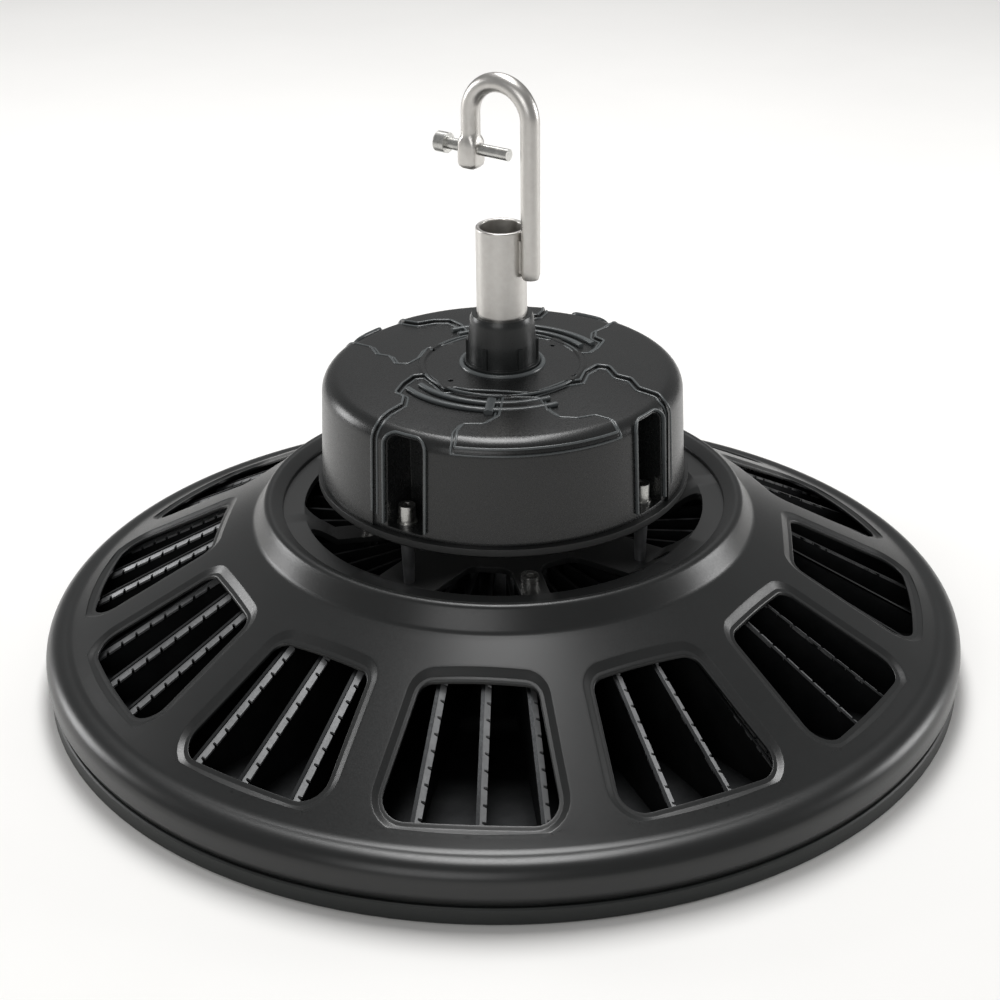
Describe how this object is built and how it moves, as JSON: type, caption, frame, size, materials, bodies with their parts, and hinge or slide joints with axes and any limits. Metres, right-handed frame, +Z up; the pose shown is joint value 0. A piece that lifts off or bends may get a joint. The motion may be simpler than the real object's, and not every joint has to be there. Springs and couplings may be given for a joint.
{
  "type": "high bay light",
  "caption": "Round high bay ceiling light: finned heat sink under a vented cast shell, driver can above on pins, lens below, hung by a welded hook on a short tube.",
  "frame": {"origin": "centre of the flat underside of the bottom ring, on the light's axis", "axes": "+Z up along the light's axis from the lens to the hook; a cooling window of the shell is centred on -Y"},
  "size_m": [0.4024, 0.4024, 0.2665],
  "materials": {
    "black_coating": "satin black powder coat with a fine texture, on cast and pressed aluminium",
    "black_plastic": "matt black moulded polyamide",
    "sink_aluminium": "dark anodised aluminium fins with satin edges",
    "screw_steel": "zinc-plated steel",
    "clear_lens": "clear moulded polycarbonate, polished",
    "grey_rubber": "grey silicone rubber",
    "black_rubber": "black moulded rubber",
    "white_board": "white solder resist on an aluminium-core board",
    "led_phosphor": "yellow phosphor under clear resin",
    "pin_aluminium": "turned aluminium, as machined",
    "green_board": "green solder resist on glass-fibre board",
    "core_iron": "dark sintered ferrite core with a taped coil",
    "choke_copper": "enamelled copper winding",
    "capacitor_sleeve": "dark blue shrink sleeve",
    "tube_steel": "zinc-plated drawn steel tube with faint lengthwise marks",
    "hook_steel": "zinc-plated bent steel rod, satin"
  },
  "bodies": {
    "root": {"trim_ring": "black_coating", "shell": "black_coating", "hub_plate": "black_coating", "driver_base": "black_coating", "driver_cover": "black_coating", "collar": "black_plastic", "heat_sink": "sink_aluminium", "ring_screws": "screw_steel", "board_screws": "screw_steel", "hub_screws": "screw_steel", "cover_screws": "screw_steel", "cover_washers": "screw_steel", "driver_board_screws": "screw_steel", "hook_screw": "screw_steel", "lock_nut": "screw_steel", "lens": "clear_lens", "lens_gasket": "grey_rubber", "driver_seal": "grey_rubber", "sink_gland": "black_rubber", "driver_gland": "black_rubber", "led_board": "white_board", "leds": "led_phosphor", "driver_pins": "pin_aluminium", "driver_board": "green_board", "transformer": "core_iron", "choke": "choke_copper", "capacitors": "capacitor_sleeve", "hanger_tube": "tube_steel", "hook": "hook_steel"}
  },
  "joints": []
}
